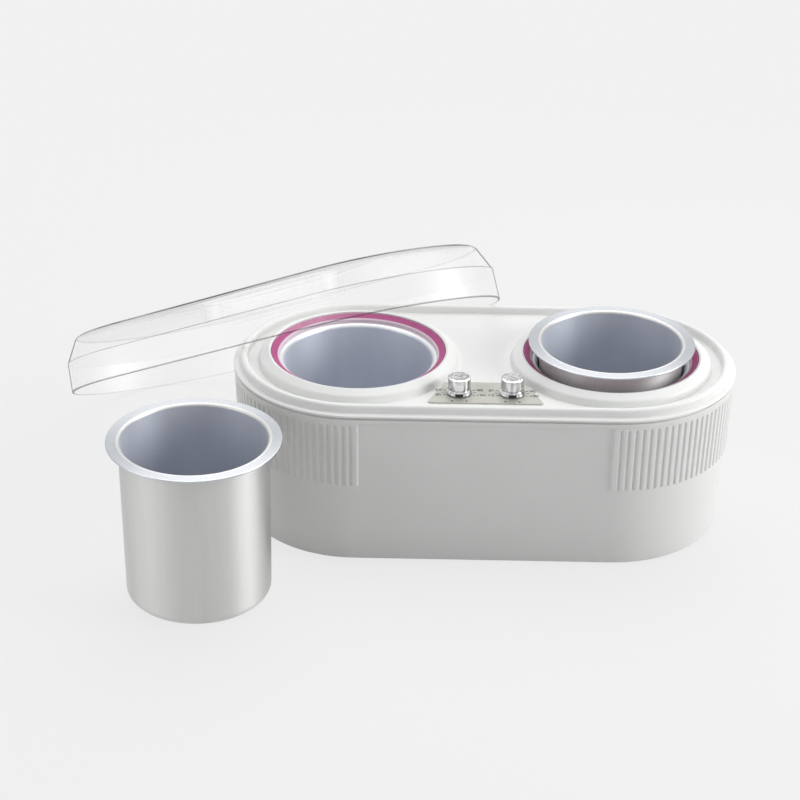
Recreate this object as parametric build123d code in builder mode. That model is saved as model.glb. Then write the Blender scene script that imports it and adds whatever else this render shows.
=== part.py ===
from build123d import *
import os
from math import atan2, cos, hypot, pi, radians, sin, sqrt, tan

# Double wax warmer: an oblong heater with two round wells, two pots and a clear lid.
# Millimetres, +Z up. The origin is on the table, under the middle of the heater, and -Y is the front.

os.makedirs("parts", exist_ok=True)

# Plan of the oblong body: every shell follows two round ends joined by straight sides
collar_spacing = 31.0
deck_margin = 5.2
lip_width = 4.0
rim_width = 4.4
rim_slope = 1.0
band_inset = 0.5
panel_proud = 1.1
wall = 2.4

# Heights of the body
foot_stand = 0.8
band_height = 2.8
seam_gap = 1.4
seam_depth = 1.4
lip_thickness = 1.4
rim_height = 4.8
deck_depth = 4.6
deck_thickness = 2.4
waist_drop = 3.6
upper_draft = 1.9
lower_draft = 3.8
base_rounding = 1.0
waist_rounding = 150.0
base_flange = 7.3

edge_round = 0.4

# Ribbed panels on the round ends
panel_height = 42.0
panel_lap = 2.5
rib_count = 53
groove_width = 1.9
groove_floor = 0.9
groove_land = 0.8
groove_skin = 0.1
groove_mouth = 1.8

# Collars, well rings and heating wells
collar_height = 7.0
collar_width = 7.9
collar_shoulder = 4.2
collar_shoulder_round = 2.5
collar_crest = 1.3
ring_gap = 0.5
ring_wall = 1.9
ring_drop = 2.8
ring_step = 0.8
well_wall = 1.2
well_lip = 5.9
well_flange_thickness = 1.4
well_edge_rounding = 2.0
well_hole_gap = 1.3
fit_gap = 0.3
slip_gap = 0.1

# Pots; the wells, and through them the body, take their sizes from these
pot_height = 100.0
pot_radius = 43.3
pot_lip = 6.9
pot_gap = 1.4
pot_stand = 6.4
pot_taper = 1.1
pot_wall = 1.2
pot_rounding = 6.0
front_pot_gap = 12.25
front_pot_bearing = 229.64

# Heating and insulation
heater_thickness = 1.5
heater_rise = 13.0
heater_height = 34.0
heater_gap = 10.0
ear_length = 8.6
ear_thickness = 1.5
insulation_gap = 0.8
insulation_wall = 4.3
insulation_floor = 6.5
insulation_drop = 6.0
insulation_slot = 18.0
insulation_slot_spare = 2.0
cutout_radius = 8.0
cutout_height = 6.6
cutout_flange = 1.0
cutout_flange_thickness = 1.6
cutout_room = 2.0
cutout_clearance = 3.9
clamp_screw_radius = 1.5
clamp_screw_inset = 3.0
clamp_screw_spare = 1.5

# Controls
knob_spacing = 31.2
knob_inset = 21.4
knob_skirt = 7.65
knob_web = 0.45
knob_grip_step = 0.6
knob_height = 10.2
knob_gap = 0.4
knob_cup_wall = 1.9
knob_cup_height = 2.4
knob_skirt_edge = 1.0
knob_step = 1.1
knob_bevel = 1.1
knob_bevel_height = 0.3
knob_cap = 2.0
notch_width = 4.4
notch_height = 1.6
notch_depth = 1.1
notch_sill = 0.25
plate_thickness = 0.8
plate_margin = 8.2
plate_depth = 27.0
plate_front_width = 69.0
plate_corner = 1.5
spindle_radius = 3.0
running_gap = 0.06
neck_radius = 3.8
nut_gap = 0.38
nut_height = 2.0
thermostat_width = 26.0
thermostat_depth = 22.0
thermostat_height = 13.0
bracket_margin = 1.5
bracket_thickness = 1.2

# Base, fasteners, terminals and wiring
base_thickness = 2.5
foot_radius = 7.0
foot_flare = 0.8
foot_peg = 3.0
foot_offset, foot_y = 18.5, 38.0
boss_radius = 3.5
boss_height = 17.0
boss_inset = 28.5
boss_gap = 1.0
web_thickness = 2.0
screw_radius = 1.5
screw_head = 3.2
screw_head_height = 1.2
screw_bite = 8.0
post_x = 20.0
post_gap = 1.7
post_length = 18.0
lug_width = 10.0
lug_thickness = 3.4
vent_length, vent_width, vent_pitch, vent_y = 22.0, 3.0, 7.0, 35.0
vent_count = 5
block_length, block_depth, block_height = 36.0, 14.0, 16.0
block_y = 14.0
block_poles = 4
terminal_well, terminal_radius = 2.4, 2.1
wire_radius = 1.1
wire_bend = 9.0
wire_rise, wire_drop = 30.0, 24.0
gland_gap, gland_rise = 0.5, 16.7
gland_bore = 3.6
gland_barrel = 6.5
gland_flange = 8.5
gland_flange_thickness = 3.0
gland_pad = 1.4
gland_reach = 7.0

# Lid
lid_inset = 0.2
lid_wall = 2.0
lid_skirt = 19.0
lid_skirt_draft = 0.6
lid_skirt_round = 1.5
lid_shoulder = 8.8
lid_shoulder_round = 5.0
lid_crown = 34.9
lid_dome = 4.2
lid_dome_blend = 27.64
leaf_length = 188.0
leaf_width = 48.0
leaf_rise = 0.4
grip_length = 100.0
grip_width = 34.0
grip_depth = 13.0
bar_width = 11.0
bar_bore = 6.0
lid_turn, lid_tip = -21.5, 22.4
lid_offset, lid_row = 52.1, 4.6
lid_clearance = 0.15

# Radii that follow from the sizes above, from the pot out to the lip
pot_flange = pot_radius + pot_lip
well_radius = pot_radius + pot_gap
well_outer = well_radius + well_wall
well_hole = well_outer + well_hole_gap
well_flange = well_radius + well_lip
ring_radius = well_flange + ring_gap + ring_wall + slip_gap
collar_radius = ring_radius + collar_width
deck_radius = collar_radius + deck_margin
rim_inner = deck_radius + rim_slope
rim_radius = rim_inner + rim_width
lip_radius = rim_radius + lip_width
half = collar_radius + collar_spacing / 2
well_spacing = 2 * half
band_radius = lip_radius - band_inset
wall_top = band_radius - panel_proud
heater_radius = well_outer + heater_thickness
ear_end = heater_radius + ear_length
insulation_inner = heater_radius + insulation_gap
insulation_radius = insulation_inner + insulation_wall
well_centres = {"left": -half, "right": half}

# Levels that follow, from the table up to the pot's flange and back down to the seam
base_top = foot_stand + base_thickness
well_underside = base_top + cutout_clearance + cutout_height
well_floor = well_underside + well_wall
collar_top = well_floor + pot_height - pot_wall - pot_stand
deck_top = collar_top - collar_height
deck_under = deck_top - deck_thickness
rim_top = deck_top + deck_depth
lip_top = rim_top - rim_height
lip_under = lip_top - lip_thickness
housing_top = lip_under - seam_gap
band_bottom = housing_top - band_height
panel_top = band_bottom
panel_bottom = panel_top - panel_height
waist = panel_bottom - waist_drop
flange_top = deck_top + well_flange_thickness
heater_bottom = well_floor + heater_rise
heater_middle = heater_bottom + heater_height / 2
insulation_top = deck_under - insulation_drop
gland_z = base_top + gland_rise
wall_waist = wall_top - (band_bottom - waist) * tan(radians(upper_draft))
wall_base = wall_waist - (waist - foot_stand) * tan(radians(lower_draft))
base_opening = wall_base - base_flange

# Controls: the plate and the knobs keep their distance from the deck's front edge
knob_row = deck_radius - knob_inset
plate_front = deck_radius - plate_margin
plate_back = plate_front - plate_depth
plate_top = deck_top + plate_thickness
plate_back_half = half - sqrt((collar_radius + fit_gap) ** 2 - plate_back**2)
knob_base = plate_top + knob_gap
knob_top = knob_base + knob_height
cup_radius = knob_skirt - knob_cup_wall
knob_waist = cup_radius + knob_web
knob_grip = knob_waist + knob_grip_step
nut_width = 2 * (cup_radius - nut_gap) * cos(radians(30))
knob_centres = {"left": -knob_spacing / 2, "right": knob_spacing / 2}

# Fastener places: the bosses clear the insulation, the posts the thermostats and the gland a boss's web
boss_x, boss_y = half - boss_inset, insulation_radius + boss_radius
end_boss = insulation_radius + boss_gap + boss_radius
post_y = knob_row + thermostat_depth / 2 + post_gap + boss_radius
gland_x = boss_x - web_thickness / 2 - gland_gap - gland_barrel
boss_places = [(x, y) for x in (-boss_x, boss_x) for y in (-boss_y, boss_y)]
end_boss_places = [(-half - end_boss, 0), (half + end_boss, 0)]
post_places = [(x, y) for x in (-post_x, post_x) for y in (-post_y, post_y)]
foot_places = [(x, y) for x in (-half - foot_offset, half + foot_offset) for y in (-foot_y, foot_y)]


def wall_radius(height):
    """Outside of the plain wall, measured from the spine of the oblong."""
    if height > waist:
        return wall_top - (band_bottom - height) * tan(radians(upper_draft))
    return wall_waist - (waist - height) * tan(radians(lower_draft))


def outline(points):
    """Closed outline through the points; a third number rounds that corner."""
    radii = [point[2] if len(point) > 2 else 0 for point in points]
    FilletPolyline(*[point[:2] for point in points], radius=radii, close=True)


def carry_round(points, frame=Plane.XY, mode=Mode.ADD):
    """Carry a section, given as distance from the spine and height, round the oblong."""
    end = frame.origin + frame.x_dir * half
    with BuildSketch(Plane(end, x_dir=frame.y_dir, z_dir=frame.x_dir), mode=Mode.PRIVATE) as section:
        with BuildLine():
            outline(points)
        make_face()
    round_end = revolve(section.sketch, Axis(end, frame.z_dir), -180, mode=Mode.PRIVATE)
    side = extrude(section.sketch, amount=-well_spacing, mode=Mode.PRIVATE)
    across = Plane(frame.origin, x_dir=frame.y_dir, z_dir=frame.x_dir)
    along = Plane(frame.origin, x_dir=frame.x_dir, z_dir=frame.y_dir)
    add(round_end, mode=mode)
    add(side, mode=mode)
    add(mirror(round_end, about=across, mode=Mode.PRIVATE), mode=mode)
    add(mirror(side, about=along, mode=Mode.PRIVATE), mode=mode)


def turned(points, centre, mode=Mode.ADD):
    """Turn a section, given as radius and height, about the upright axis at a centre."""
    with BuildSketch(Plane(centre, x_dir=(1, 0, 0), z_dir=(0, -1, 0)), mode=Mode.PRIVATE) as section:
        with BuildLine():
            outline(points)
        make_face()
    revolve(section.sketch, Axis(centre, (0, 0, 1)), mode=mode)


def disc(radius, bottom, top, places, mode=Mode.ADD):
    """Upright round bars or holes between two heights."""
    with BuildSketch(Plane.XY.offset(bottom), mode=Mode.PRIVATE) as section:
        with Locations(*places):
            Circle(radius)
    extrude(section.sketch, amount=top - bottom, mode=mode)


def save(builder, name):
    """Label a finished piece and write its STEP file."""
    builder.part.label = name
    export_step(builder.part, f"parts/{name}.step")


# Ribbed panels: a drafted skin on each round end, grooved into narrow upright ribs
with BuildPart() as rib_panels:
    carry_round([
        (wall_radius(panel_bottom) - wall / 2, panel_bottom),
        (wall_radius(panel_bottom) + panel_proud, panel_bottom, edge_round),
        (band_radius, panel_top),
        (wall_top - wall / 2, panel_top),
    ])
    with BuildSketch(Plane.XY.offset(panel_bottom)):
        Rectangle(2 * (half - panel_lap), 2 * lip_radius)
    extrude(amount=panel_height, mode=Mode.SUBTRACT)

with BuildPart() as groove:
    for height in (panel_bottom - 1, panel_top - groove_land):
        floor_radius = wall_radius(height) + groove_skin
        mouth_radius = wall_radius(height) + groove_mouth
        with BuildSketch(Plane.XY.offset(height)):
            Polygon(
                (floor_radius, -groove_floor / 2),
                (mouth_radius, -groove_width / 2),
                (mouth_radius, groove_width / 2),
                (floor_radius, groove_floor / 2),
                align=None,
            )
    loft(ruled=True)

# Housing: drafted oblong shell with a turned-in bottom edge, a band, a tongue for the cover and bosses
with BuildPart() as housing:
    carry_round([
        (base_opening, foot_stand),
        (wall_base, foot_stand, base_rounding),
        (wall_waist, waist, waist_rounding),
        (wall_top, band_bottom),
        (band_radius, band_bottom),
        (band_radius, housing_top, edge_round),
        (band_radius - seam_depth, housing_top),
        (band_radius - seam_depth, lip_under),
        (wall_top - wall, lip_under),
        (wall_top - wall, band_bottom),
        (wall_waist - wall, waist, waist_rounding),
        (wall_base - wall, base_top, base_rounding / 2),
        (base_opening, base_top),
    ])
    add(rib_panels.part)
    pitch = 180 / rib_count
    for centre, start in ((half, -90 + pitch / 2), (-half, 90 + pitch / 2)):
        with Locations((centre, 0, 0)):
            with PolarLocations(0, rib_count, start_angle=start, angular_range=180 - pitch, endpoint=True):
                add(groove.part, mode=Mode.SUBTRACT)
    # Bosses for the base screws, each tied to the wall by a web
    disc(boss_radius, base_top, base_top + boss_height, boss_places + end_boss_places)
    web_reach = wall_base - wall / 2
    for x, y in boss_places:
        side = 1 if y > 0 else -1
        with BuildSketch(Plane.XY.offset(base_top)):
            with Locations((x, side * (boss_y + web_reach) / 2)):
                Rectangle(web_thickness, web_reach - boss_y)
        extrude(amount=boss_height)
    for x, y in end_boss_places:
        side = 1 if x > 0 else -1
        with BuildSketch(Plane.XY.offset(base_top)):
            with Locations((side * (half + (end_boss + web_reach) / 2), 0)):
                Rectangle(web_reach - end_boss, web_thickness)
        extrude(amount=boss_height)
    disc(screw_radius, base_top, base_top + screw_bite + 1, boss_places + end_boss_places, Mode.SUBTRACT)
    # Lugs that carry the cover screws
    lug_top = deck_under - post_length
    lug_reach = wall_radius(lug_top) - wall / 2
    for x, y in post_places:
        side = 1 if y > 0 else -1
        with BuildSketch(Plane.XY.offset(lug_top - lug_thickness)):
            with Locations((x, side * (post_y - lug_width / 2 + lug_reach) / 2)):
                Rectangle(lug_width, lug_reach - post_y + lug_width / 2)
        extrude(amount=lug_thickness)
    disc(screw_radius + slip_gap, lug_top - lug_thickness, lug_top, post_places, Mode.SUBTRACT)
    # Flat pad and hole for the cord gland at the back
    pad_face = wall_radius(gland_z) + gland_pad
    with BuildSketch(Plane((gland_x, pad_face, gland_z), x_dir=(-1, 0, 0), z_dir=(0, 1, 0))):
        Circle(gland_flange + 1)
    extrude(amount=-gland_pad - wall)
    with BuildSketch(Plane((gland_x, pad_face, gland_z), x_dir=(-1, 0, 0), z_dir=(0, 1, 0))):
        Circle(gland_barrel + slip_gap)
    extrude(amount=-gland_pad - 2 * wall, mode=Mode.SUBTRACT)
save(housing, "housing")

# Base plate, let into the housing's bottom edge
with BuildPart() as base_plate:
    plate_radius = base_opening - fit_gap
    carry_round([(0, foot_stand), (plate_radius, foot_stand, edge_round), (plate_radius, base_top), (0, base_top)])
    disc(screw_radius + slip_gap, foot_stand, base_top, boss_places + end_boss_places, Mode.SUBTRACT)
    head_seat = foot_stand + screw_head_height + slip_gap
    disc(screw_head + fit_gap, foot_stand, head_seat, boss_places + end_boss_places, Mode.SUBTRACT)
    disc(foot_peg, foot_stand, base_top, foot_places, Mode.SUBTRACT)
    with BuildSketch(Plane.XY.offset(foot_stand)):
        with GridLocations(vent_pitch, 2 * vent_y, vent_count, 2):
            SlotOverall(vent_length, vent_width, rotation=90)
    extrude(amount=base_thickness, mode=Mode.SUBTRACT)
save(base_plate, "base_plate")

with BuildPart() as rubber_feet:
    for x, y in foot_places:
        turned([
            (0, 0), (foot_radius - foot_flare, 0, edge_round), (foot_radius, foot_stand),
            (foot_peg, foot_stand), (foot_peg, base_top), (0, base_top),
        ], (x, y, 0))
save(rubber_feet, "rubber_feet")

with BuildPart() as base_screws:
    disc(screw_head, head_seat - screw_head_height, head_seat, boss_places + end_boss_places)
    disc(screw_radius, head_seat, base_top + screw_bite, boss_places + end_boss_places)
save(base_screws, "base_screws")

# Top cover: lip for the lid, rounded rim, sunk deck, two collars and the holes under them
spigot_radius = wall_top - wall - fit_gap
with BuildPart() as top_cover:
    carry_round([
        (0, deck_under),
        (spigot_radius - wall, deck_under),
        (spigot_radius - wall, band_bottom - band_height),
        (spigot_radius, band_bottom - band_height),
        (spigot_radius, lip_under),
        (lip_radius, lip_under, 0.3),
        (lip_radius, lip_top, 0.8),
        (rim_radius, lip_top, 0.6),
        (rim_radius, rim_top, 1.8),
        (rim_inner, rim_top, 1.6),
        (deck_radius, deck_top, 1.5),
        (0, deck_top),
    ])
    for centre in well_centres.values():
        turned([
            (ring_radius, deck_top - deck_thickness / 2),
            (collar_radius, deck_top - deck_thickness / 2),
            (collar_radius, deck_top, edge_round),
            (collar_radius - collar_crest, deck_top + collar_shoulder, collar_shoulder_round),
            (ring_radius + collar_crest, collar_top, 2 * edge_round),
            (ring_radius, collar_top - edge_round),
        ], (centre, 0, 0))
        disc(well_hole, deck_under, deck_top, [(centre, 0)], Mode.SUBTRACT)
    disc(neck_radius + slip_gap, deck_under, deck_top,
         [(x, -knob_row) for x in knob_centres.values()], Mode.SUBTRACT)
    disc(boss_radius, lug_top, deck_under, post_places)
    disc(screw_radius, lug_top, lug_top + screw_bite + 1, post_places, Mode.SUBTRACT)
save(top_cover, "top_cover")

with BuildPart() as cover_screws:
    lug_bottom = lug_top - lug_thickness
    disc(screw_head, lug_bottom - screw_head_height, lug_bottom, post_places)
    disc(screw_radius, lug_bottom, lug_top + screw_bite, post_places)
save(cover_screws, "cover_screws")

# Dial plate, a thin trapezium under the knobs whose back corners just clear the collars
with BuildPart() as dial_plate:
    with BuildSketch(Plane.XY.offset(deck_top)):
        with BuildLine():
            outline([
                (-plate_back_half, -plate_back, plate_corner),
                (plate_back_half, -plate_back, plate_corner),
                (plate_front_width / 2, -plate_front, plate_corner),
                (-plate_front_width / 2, -plate_front, plate_corner),
            ])
        make_face()
        with Locations(*[(x, -knob_row) for x in knob_centres.values()]):
            Circle(neck_radius + slip_gap, mode=Mode.SUBTRACT)
    extrude(amount=plate_thickness)
save(dial_plate, "dial_plate")

# Parts of each well: coloured ring, drawn cup, band heater, insulation and cut-out
for side, centre in well_centres.items():
    inward = 1 if centre < 0 else -1
    ring_outer = ring_radius - slip_gap
    ring_crest = collar_top - ring_step
    mouth_radius = well_radius + well_wall + ring_wall

    with BuildPart() as well_ring:
        turned([
            (ring_outer, deck_top),
            (ring_outer, ring_crest, edge_round),
            (mouth_radius, ring_crest - ring_drop, edge_round),
            (mouth_radius, flange_top),
            (ring_outer - ring_wall, flange_top),
            (ring_outer - ring_wall, deck_top),
        ], (centre, 0, 0))
    save(well_ring, f"{side}_well_ring")

    with BuildPart() as heating_well:
        turned([
            (0, well_underside),
            (well_outer, well_underside, pot_rounding + 1),
            (well_outer, deck_top, edge_round),
            (well_flange, deck_top, edge_round),
            (well_flange, flange_top, edge_round),
            (well_radius, flange_top, well_edge_rounding),
            (well_radius, well_floor, pot_rounding - 1),
            (0, well_floor),
        ], (centre, 0, 0))
    save(heating_well, f"{side}_heating_well")

    with BuildPart() as band_heater:
        with BuildSketch(Plane.XY.offset(heater_bottom)):
            with Locations((centre, 0)):
                Circle(heater_radius)
            with Locations((centre + inward * (well_outer + ear_end) / 2, 0)):
                Rectangle(ear_end - well_outer, heater_gap + 2 * ear_thickness)
            with Locations((centre, 0)):
                Circle(well_outer, mode=Mode.SUBTRACT)
            with Locations((centre + inward * ear_end, 0)):
                Rectangle(2 * ear_end, heater_gap, mode=Mode.SUBTRACT)
        extrude(amount=heater_height)
        screw_x = centre + inward * (ear_end - clamp_screw_inset)
        with BuildSketch(Plane((screw_x, 0, heater_middle), x_dir=(1, 0, 0), z_dir=(0, -1, 0))):
            Circle(clamp_screw_radius + slip_gap)
        extrude(amount=heater_gap, both=True, mode=Mode.SUBTRACT)
    save(band_heater, f"{side}_band_heater")

    with BuildPart() as insulation:
        turned([
            (cutout_radius + cutout_room, base_top),
            (insulation_radius, base_top, edge_round),
            (insulation_radius, insulation_top, edge_round),
            (insulation_inner, insulation_top, edge_round),
            (insulation_inner, base_top + insulation_floor, edge_round),
            (cutout_radius + cutout_room, base_top + insulation_floor),
        ], (centre, 0, 0))
        with BuildSketch(Plane.XY.offset(heater_bottom - insulation_slot_spare)):
            with Locations((centre + inward * insulation_radius, 0)):
                Rectangle(insulation_wall * 3, insulation_slot)
        extrude(amount=heater_height + 2 * insulation_slot_spare, mode=Mode.SUBTRACT)
    save(insulation, f"{side}_insulation")

    with BuildPart() as cutout:
        turned([
            (0, well_underside - cutout_height),
            (cutout_radius, well_underside - cutout_height, edge_round),
            (cutout_radius, well_underside - cutout_flange_thickness),
            (cutout_radius + cutout_flange, well_underside - cutout_flange_thickness),
            (cutout_radius + cutout_flange, well_underside),
            (0, well_underside),
        ], (centre, 0, 0))
    save(cutout, f"{side}_cutout")

# Clamp screws that close the two band heaters
with BuildPart() as clamp_screws:
    for side, centre in well_centres.items():
        inward = 1 if centre < 0 else -1
        reach = heater_gap / 2 + ear_thickness
        screw_x = centre + inward * (ear_end - clamp_screw_inset)
        start = Plane((screw_x, reach, heater_middle), x_dir=(1, 0, 0), z_dir=(0, -1, 0))
        with BuildSketch(start):
            Circle(clamp_screw_radius)
        extrude(amount=2 * reach + clamp_screw_spare)
        with BuildSketch(start):
            Circle(2 * clamp_screw_radius)
        extrude(amount=-screw_head_height)
save(clamp_screws, "clamp_screws")

# Controls: thermostat under the deck, its nut, the spindle in its neck and the knob on the spindle
neck_top = plate_top + nut_height
for side, x in knob_centres.items():
    with BuildPart() as thermostat:
        with BuildSketch(Plane.XY.offset(deck_under - bracket_thickness)):
            with Locations((x, -knob_row)):
                Rectangle(thermostat_width, thermostat_depth)
        extrude(amount=bracket_thickness)
        with BuildSketch(Plane.XY.offset(deck_under - bracket_thickness)):
            with Locations((x, -knob_row)):
                RectangleRounded(thermostat_width - 2 * bracket_margin,
                                 thermostat_depth - 2 * bracket_margin, bracket_margin)
        extrude(amount=-thermostat_height)
        disc(neck_radius, deck_under - bracket_thickness, neck_top, [(x, -knob_row)])
        disc(spindle_radius + running_gap, deck_under - thermostat_height + fit_gap, neck_top,
             [(x, -knob_row)], Mode.SUBTRACT)
    save(thermostat, f"{side}_thermostat")

    with BuildPart() as spindle:
        disc(spindle_radius, deck_under - thermostat_height + 2 * fit_gap, knob_top - knob_cap, [(x, -knob_row)])
    save(spindle, f"{side}_spindle")

    cup_top = knob_base + knob_cup_height
    with BuildPart() as knob:
        turned([
            (cup_radius, knob_base),
            (knob_skirt, knob_base, edge_round / 2),
            (knob_skirt, knob_base + knob_skirt_edge, edge_round),
            (knob_waist, cup_top + edge_round / 2, edge_round),
            (knob_grip, cup_top + knob_step, edge_round),
            (knob_grip, knob_top - knob_bevel_height, edge_round),
            (knob_grip - knob_bevel, knob_top, edge_round),
            (0, knob_top),
            (0, knob_top - knob_cap),
            (spindle_radius, knob_top - knob_cap),
            (spindle_radius, cup_top),
            (cup_radius, cup_top),
        ], (x, -knob_row, 0))
        with BuildSketch(Plane.XY.offset(knob_base + notch_sill)):
            with Locations((x, -knob_row - knob_skirt)):
                Rectangle(notch_width, 2 * notch_depth)
        extrude(amount=notch_height, mode=Mode.SUBTRACT)
    save(knob, f"{side}_knob")

with BuildPart() as thermostat_nuts:
    with BuildSketch(Plane.XY.offset(plate_top)):
        with Locations(*[(x, -knob_row) for x in knob_centres.values()]):
            RegularPolygon(nut_width / 2, 6, major_radius=False)
            Circle(neck_radius, mode=Mode.SUBTRACT)
    extrude(amount=nut_height)
save(thermostat_nuts, "thermostat_nuts")

# Terminal block on the base plate, between the wells
block_top = base_top + block_height
block_pitch = block_length / block_poles
terminal_y = block_y - block_depth / 4
terminal_places = [((pole + 0.5) * block_pitch - block_length / 2, terminal_y) for pole in range(block_poles)]
terminal_floor = block_top - block_height / 3
with BuildPart() as terminal_block:
    with BuildSketch(Plane.XY.offset(base_top)):
        with Locations((0, block_y)):
            Rectangle(block_length, block_depth)
    extrude(amount=block_height)
    disc(terminal_well, terminal_floor, block_top, terminal_places, Mode.SUBTRACT)
save(terminal_block, "terminal_block")

with BuildPart() as terminal_screws:
    disc(terminal_radius, terminal_floor, terminal_floor + block_height / 6, terminal_places)
save(terminal_screws, "terminal_screws")

# Wiring: from the block up to each thermostat and across to each band heater
wire_y = block_y + block_depth / 4
thermostat_bottom = deck_under - bracket_thickness - thermostat_height
ear_y = heater_gap / 2 + ear_thickness / 2
ear_z = heater_bottom + heater_height / 4
with BuildPart() as wiring:
    for sign in (-1, 1):
        knob_x = sign * knob_spacing / 2
        outer_x = sign * block_pitch * 1.5
        inner_x = sign * block_pitch / 2
        ear_face = sign * (half - ear_end)
        runs = (
            [(outer_x, wire_y, block_top), (outer_x, wire_y, block_top + wire_rise),
             (knob_x, -knob_row, thermostat_bottom - wire_drop), (knob_x, -knob_row, thermostat_bottom)],
            [(inner_x, wire_y, block_top), (inner_x, wire_y, ear_z),
             ((inner_x + ear_face) / 2, ear_y, ear_z), (ear_face, ear_y, ear_z)],
        )
        for run, bend in zip(runs, (wire_bend, wire_bend / 3)):
            with BuildLine(mode=Mode.PRIVATE) as path:
                FilletPolyline(*run, radius=bend)
            with BuildSketch(Plane(run[0], z_dir=(0, 0, 1)), mode=Mode.PRIVATE) as section:
                Circle(wire_radius)
            sweep(section.sketch, path=path.line)
save(wiring, "wiring")

# Cord gland at the back; the cord itself is left out
with BuildPart() as cord_gland:
    gland_seat = Plane((gland_x, pad_face, gland_z), x_dir=(-1, 0, 0), z_dir=(0, 1, 0))
    with BuildSketch(gland_seat):
        Circle(gland_flange)
    extrude(amount=gland_flange_thickness)
    rounded = edges().filter_by(GeomType.CIRCLE).sort_by(Axis.Y)[-1]
    fillet(rounded, gland_flange_thickness * 0.4)
    with BuildSketch(gland_seat):
        Circle(gland_barrel)
    extrude(amount=-gland_pad - wall - gland_reach)
    with BuildSketch(gland_seat.offset(gland_flange_thickness)):
        Circle(gland_bore)
    extrude(amount=-gland_flange_thickness - gland_pad - wall - gland_reach, mode=Mode.SUBTRACT)
save(cord_gland, "cord_gland")


def make_pot(x, y, z):
    """Drawn pot with a flat flange, slightly tapered walls and a rounded bottom."""
    under = z + pot_height - pot_wall
    with BuildPart() as pot:
        turned([
            (0, z),
            (pot_radius - pot_taper, z, pot_rounding),
            (pot_radius, under, 2 * edge_round),
            (pot_flange, under, edge_round),
            (pot_flange, under + pot_wall, edge_round),
            (pot_radius - pot_wall, under + pot_wall, pot_wall),
            (pot_radius - pot_taper - pot_wall, z + pot_wall, pot_rounding - pot_wall),
            (0, z + pot_wall),
        ], (x, y, 0))
    return pot


save(make_pot(half, 0, well_floor), "right_pot")
front_pot_reach = lip_radius + front_pot_gap + pot_flange
front_pot_x = -half + front_pot_reach * cos(radians(front_pot_bearing))
front_pot_y = front_pot_reach * sin(radians(front_pot_bearing))
save(make_pot(front_pot_x, front_pot_y, 0), "front_pot")

# Lid, taken off and leaning: its low side rests on the table and its skirt on the rim of the left end
lid_radius = lip_radius - lid_inset
lid_x, lid_y = -half - lid_offset, lip_radius - lid_row


def lid_axes(climb):
    """Directions along and across the lid and out of its crown, when its length climbs by an angle."""
    turn, tip = radians(lid_turn), radians(lid_tip)
    along = Vector(cos(turn) * cos(climb), sin(turn) * cos(climb), sin(climb))
    level = Vector(-sin(turn), cos(turn), 0)
    up = along.cross(level) * cos(tip) + level * sin(tip)
    return along, up.cross(along), up


def heater_level(x, y):
    """Height of the heater's top under a point, or 0 where only the table is."""
    off_spine = hypot(max(abs(x) - half, 0), y)
    if min(hypot(x - half, y), hypot(x + half, y)) < collar_radius:
        return collar_top
    if off_spine < deck_radius:
        return deck_top
    if off_spine < rim_radius:
        return rim_top
    return lip_top if off_spine < lip_radius else 0


def touching_heights(climb):
    """Heights of the lid's middle at which its bottom edge just clears the table, and the heater."""
    along, across, _ = lid_axes(climb)
    along, across = tuple(along), tuple(across)
    table = heater = 0
    for step in range(720):
        angle = 2 * pi * step / 720
        for radius in (lid_radius - lid_wall, lid_radius - lid_wall / 2, lid_radius):
            run, side = radius * cos(angle) + (half if cos(angle) > 0 else -half), radius * sin(angle)
            x, y, z = (run * a + side * b for a, b in zip(along, across))
            level = heater_level(lid_x + x, lid_y + y)
            table, heater = max(table, -z), max(heater, level - z if level else 0)
    return table, heater


# The lid climbs until it lies on the table and on the heater at once
least_climb, most_climb = 0, pi / 4
for _ in range(20):
    lid_climb = (least_climb + most_climb) / 2
    on_table, on_heater = touching_heights(lid_climb)
    if on_table < on_heater:
        least_climb = lid_climb
    else:
        most_climb = lid_climb

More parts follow.
